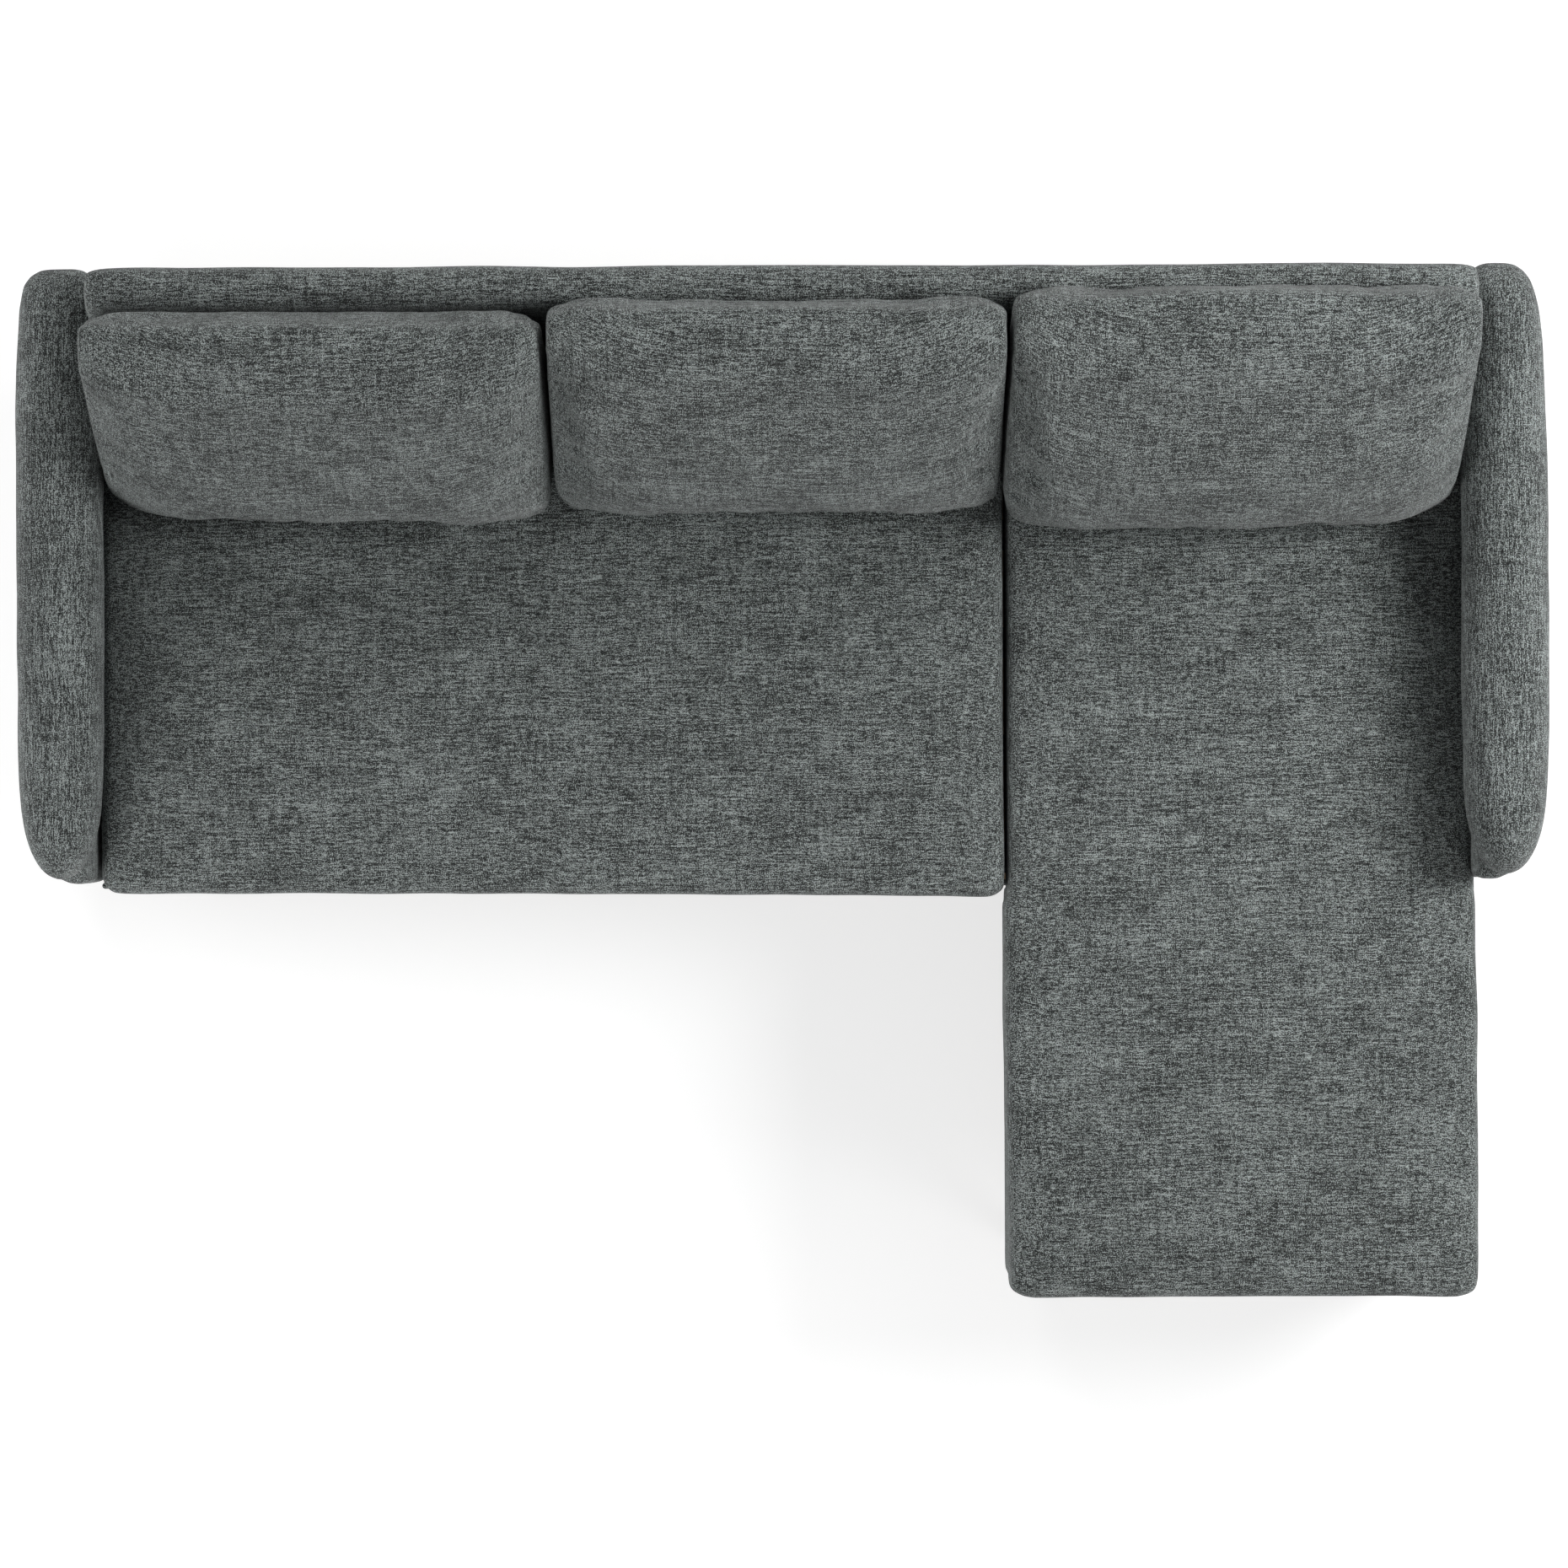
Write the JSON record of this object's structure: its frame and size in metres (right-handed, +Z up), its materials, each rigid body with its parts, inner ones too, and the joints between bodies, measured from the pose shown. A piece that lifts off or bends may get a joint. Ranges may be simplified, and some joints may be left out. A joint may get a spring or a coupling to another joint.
{
  "type": "sectional sofa",
  "caption": "Charcoal fabric sofa with a long chaise seat at one end, slim rolled arms, loose seat pads and back cushions, and short tapered legs.",
  "frame": {"origin": "on the floor, midway between the outer faces of the arms and midway from the back to the front edge of the chaise seat", "axes": "+X along the sofa towards the chaise end, +Y towards the back, +Z up"},
  "size_m": [2.4, 1.61, 0.8745],
  "materials": {
    "charcoal_fabric": "matt heathered plain weave",
    "black_lining": "matt non-woven lining",
    "webbing": "matt elastic straps",
    "foam": "open-cell foam or fibre",
    "frame_timber": "plain sawn timber",
    "board": "plain hardboard",
    "leg_wood": "dark stain, satin lacquer",
    "zinc_steel": "zinc plated"
  },
  "bodies": {
    "sofa": {"back_cover": "charcoal_fabric", "back_cushion_1_cover": "charcoal_fabric", "back_cushion_1_fill": "foam", "back_cushion_2_cover": "charcoal_fabric", "back_cushion_2_fill": "foam", "back_cushion_3_cover": "charcoal_fabric", "back_cushion_3_fill": "foam", "back_padding": "foam", "back_panel": "board", "back_post_left": "frame_timber", "back_post_middle_left": "frame_timber", "back_post_middle_right": "frame_timber", "back_post_right": "frame_timber", "back_top_rail": "frame_timber", "bench_pad_core": "foam", "bench_pad_cover": "charcoal_fabric", "chaise_base_cover": "charcoal_fabric", "chaise_dust_cover": "black_lining", "chaise_front_rail": "frame_timber", "chaise_left_rail": "frame_timber", "chaise_leg_front_left": "leg_wood", "chaise_leg_front_right": "leg_wood", "chaise_leg_rear_left": "leg_wood", "chaise_leg_rear_right": "leg_wood", "chaise_pad_core": "foam", "chaise_pad_cover": "charcoal_fabric", "chaise_rear_rail": "frame_timber", "chaise_right_rail": "frame_timber", "chaise_webbing": "webbing", "hook_catch_pin_1": "zinc_steel", "hook_catch_pin_2": "zinc_steel", "hook_pivot_pin_1": "zinc_steel", "hook_pivot_pin_2": "zinc_steel", "left_arm_cover": "charcoal_fabric", "left_arm_padding": "foam", "left_arm_panel": "frame_timber", "right_arm_cover": "charcoal_fabric", "right_arm_padding": "foam", "right_arm_panel": "frame_timber", "sofa_cross_rail_left": "frame_timber", "sofa_cross_rail_right": "frame_timber", "sofa_dust_cover": "black_lining", "sofa_front_border": "charcoal_fabric", "sofa_front_rail": "frame_timber", "sofa_left_rail": "frame_timber", "sofa_leg_front_left": "leg_wood", "sofa_leg_front_right": "leg_wood", "sofa_leg_middle": "leg_wood", "sofa_leg_rear_left": "leg_wood", "sofa_leg_rear_right": "leg_wood", "sofa_rear_rail": "frame_timber", "sofa_right_rail": "frame_timber", "sofa_webbing": "webbing"},
    "back_cushion_1_zip_slider_body": {"back_cushion_1_zip_slider": "zinc_steel"},
    "back_cushion_2_zip_slider_body": {"back_cushion_2_zip_slider": "zinc_steel"},
    "back_cushion_3_zip_slider_body": {"back_cushion_3_zip_slider": "zinc_steel"},
    "bench_pad_zip_slider_body": {"bench_pad_zip_slider": "zinc_steel"},
    "chaise_hook_1_body": {"chaise_hook_1": "zinc_steel"},
    "chaise_hook_2_body": {"chaise_hook_2": "zinc_steel"},
    "chaise_pad_zip_slider_body": {"chaise_pad_zip_slider": "zinc_steel"}
  },
  "joints": [
    {"name": "chaise_hook_1_swing", "type": "hinge", "parent": "sofa", "child": "chaise_hook_1_body", "pos_m": [0.56, -0.1759, 0.1106], "axis": [0, 0, 1], "range_deg": [0, 100]},
    {"name": "chaise_hook_2_swing", "type": "hinge", "parent": "sofa", "child": "chaise_hook_2_body", "pos_m": [0.92, -0.1759, 0.1106], "axis": [0, 0, 1], "range_deg": [0, 100]},
    {"name": "bench_pad_zip", "type": "slide", "parent": "sofa", "child": "bench_pad_zip_slider_body", "axis": [-1, 0, 0], "range_m": [0, 0.88]},
    {"name": "chaise_pad_zip", "type": "slide", "parent": "sofa", "child": "chaise_pad_zip_slider_body", "axis": [-1, 0, 0], "range_m": [0, 0.48]},
    {"name": "back_cushion_1_zip", "type": "slide", "parent": "sofa", "child": "back_cushion_1_zip_slider_body", "axis": [-1, 0, 0], "range_m": [0, 0.4397]},
    {"name": "back_cushion_2_zip", "type": "slide", "parent": "sofa", "child": "back_cushion_2_zip_slider_body", "axis": [-1, 0, 0], "range_m": [0, 0.4397]},
    {"name": "back_cushion_3_zip", "type": "slide", "parent": "sofa", "child": "back_cushion_3_zip_slider_body", "axis": [-1, 0, 0], "range_m": [0, 0.4444]}
  ]
}
